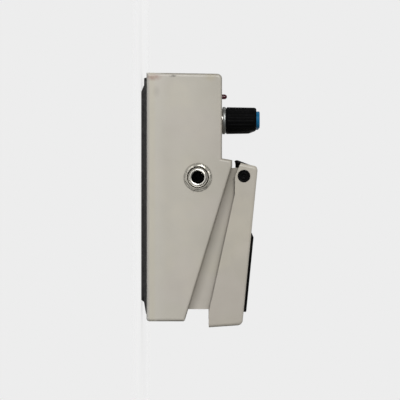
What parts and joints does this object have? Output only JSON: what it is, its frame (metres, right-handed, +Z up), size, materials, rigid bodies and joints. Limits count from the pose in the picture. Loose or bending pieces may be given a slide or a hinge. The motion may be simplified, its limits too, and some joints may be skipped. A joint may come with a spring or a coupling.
{
  "type": "guitar effects pedal",
  "caption": "Compact foot pedal for electric guitar: cast housing, hinged treadle over a battery space, rotary controls and side sockets.",
  "frame": {"origin": "on the floor under the middle of the pedal's footprint", "axes": "+Z up out of the control panel, +Y towards the rear end with the lamp and power socket, +X to the player's right"},
  "size_m": [0.0736, 0.129, 0.0601],
  "materials": {
    "housing_paint": "cream-white gloss paint on die-cast metal",
    "treadle_paint": "cream-white gloss paint on metal",
    "base_steel": "black painted steel",
    "base_rubber": "matte black rubber sheet",
    "pad_rubber": "matte black moulded rubber",
    "soft_rubber": "soft black rubber",
    "bush_plastic": "black nylon",
    "zinc_steel": "zinc-plated steel",
    "black_metal": "black oxide on knurled steel",
    "brass": "machined brass",
    "spring_steel": "spring steel",
    "cap_plastic": "blue plastic",
    "knob_plastic": "black plastic",
    "pot_metal": "plated steel can",
    "nickel": "nickel-plated brass",
    "socket_plastic": "black nylon",
    "lamp_lens": "dark red diffused plastic",
    "board_laminate": "green solder mask",
    "chip_plastic": "moulded black epoxy",
    "plunger_plastic": "white plastic",
    "capacitor_sleeve": "dark blue sleeve",
    "resistor_body": "tan lacquer",
    "battery_case": "grey plain metal jacket",
    "lead_red": "red PVC insulation",
    "lead_black": "black PVC insulation",
    "foam": "dark grey foam"
  },
  "bodies": {
    "housing": {"base_plate": "base_steel", "base_rubber": "base_rubber", "base_screws": "zinc_steel", "battery": "battery_case", "battery_foam": "foam", "battery_lead_black": "lead_black", "battery_lead_red": "lead_red", "battery_snap": "socket_plastic", "board_capacitors": "capacitor_sleeve", "board_chips": "chip_plastic", "board_resistors": "resistor_body", "board_screws": "zinc_steel", "dc_jack_body": "socket_plastic", "dc_jack_pin": "nickel", "enclosure": "housing_paint", "hinge_pin_left": "zinc_steel", "hinge_pin_right": "zinc_steel", "jack_left_body": "socket_plastic", "jack_left_contacts": "nickel", "jack_left_nut": "nickel", "jack_left_sleeve": "nickel", "jack_left_washer": "nickel", "jack_right_body": "socket_plastic", "jack_right_contacts": "nickel", "jack_right_nut": "nickel", "jack_right_sleeve": "nickel", "jack_right_washer": "nickel", "led_legs": "nickel", "led_lens": "lamp_lens", "main_board": "board_laminate", "pot_body_centre": "pot_metal", "pot_body_left": "pot_metal", "pot_body_right": "pot_metal", "pot_nuts": "nickel", "pot_washers": "nickel", "return_spring": "spring_steel", "stop_bumpers": "soft_rubber", "switch_board": "board_laminate", "switch_body": "chip_plastic", "thread_insert": "brass"},
    "treadle": {"treadle": "treadle_paint", "treadle_pad": "pad_rubber", "hinge_bush_left": "bush_plastic", "hinge_bush_right": "bush_plastic", "actuator_pad": "soft_rubber"},
    "thumbscrew": {"thumbscrew": "black_metal"},
    "switch_plunger": {"switch_plunger": "plunger_plastic"},
    "knob_left": {"knob_left": "knob_plastic", "knob_cap_left": "cap_plastic", "pot_shaft_left": "nickel"},
    "knob_centre": {"knob_centre": "knob_plastic", "knob_cap_centre": "cap_plastic", "pot_shaft_centre": "nickel"},
    "knob_right": {"knob_right": "knob_plastic", "knob_cap_right": "cap_plastic", "pot_shaft_right": "nickel"}
  },
  "joints": [
    {"name": "treadle_press", "type": "hinge", "parent": "housing", "child": "treadle", "pos_m": [0, 0.0121, 0.052], "axis": [1, 0, 0], "range_deg": [0, 3.8], "stiffness_Nm_per_rad": 8, "springref_deg": -3.44, "deforming": ["return_spring"]},
    {"name": "thumbscrew_undo", "type": "slide", "parent": "housing", "child": "thumbscrew", "axis": [0, 0.9361, 0.3518], "range_m": [0, 0.0085]},
    {"name": "switch_press", "type": "slide", "parent": "housing", "child": "switch_plunger", "axis": [0, 0, 1], "range_m": [-0.0011, 0]},
    {"name": "knob_left_turn", "type": "hinge", "parent": "housing", "child": "knob_left", "pos_m": [-0.022, 0.0407, 0.0411], "axis": [0, 0, 1], "range_deg": [-150, 150]},
    {"name": "knob_centre_turn", "type": "hinge", "parent": "housing", "child": "knob_centre", "pos_m": [0, 0.0407, 0.0411], "axis": [0, 0, 1], "range_deg": [-150, 150]},
    {"name": "knob_right_turn", "type": "hinge", "parent": "housing", "child": "knob_right", "pos_m": [0.022, 0.0407, 0.0411], "axis": [0, 0, 1], "range_deg": [-150, 150]}
  ],
  "couplings": [
    {"joint": "switch_press", "follows": "treadle_press", "m_per_rad": -0.0161}
  ]
}
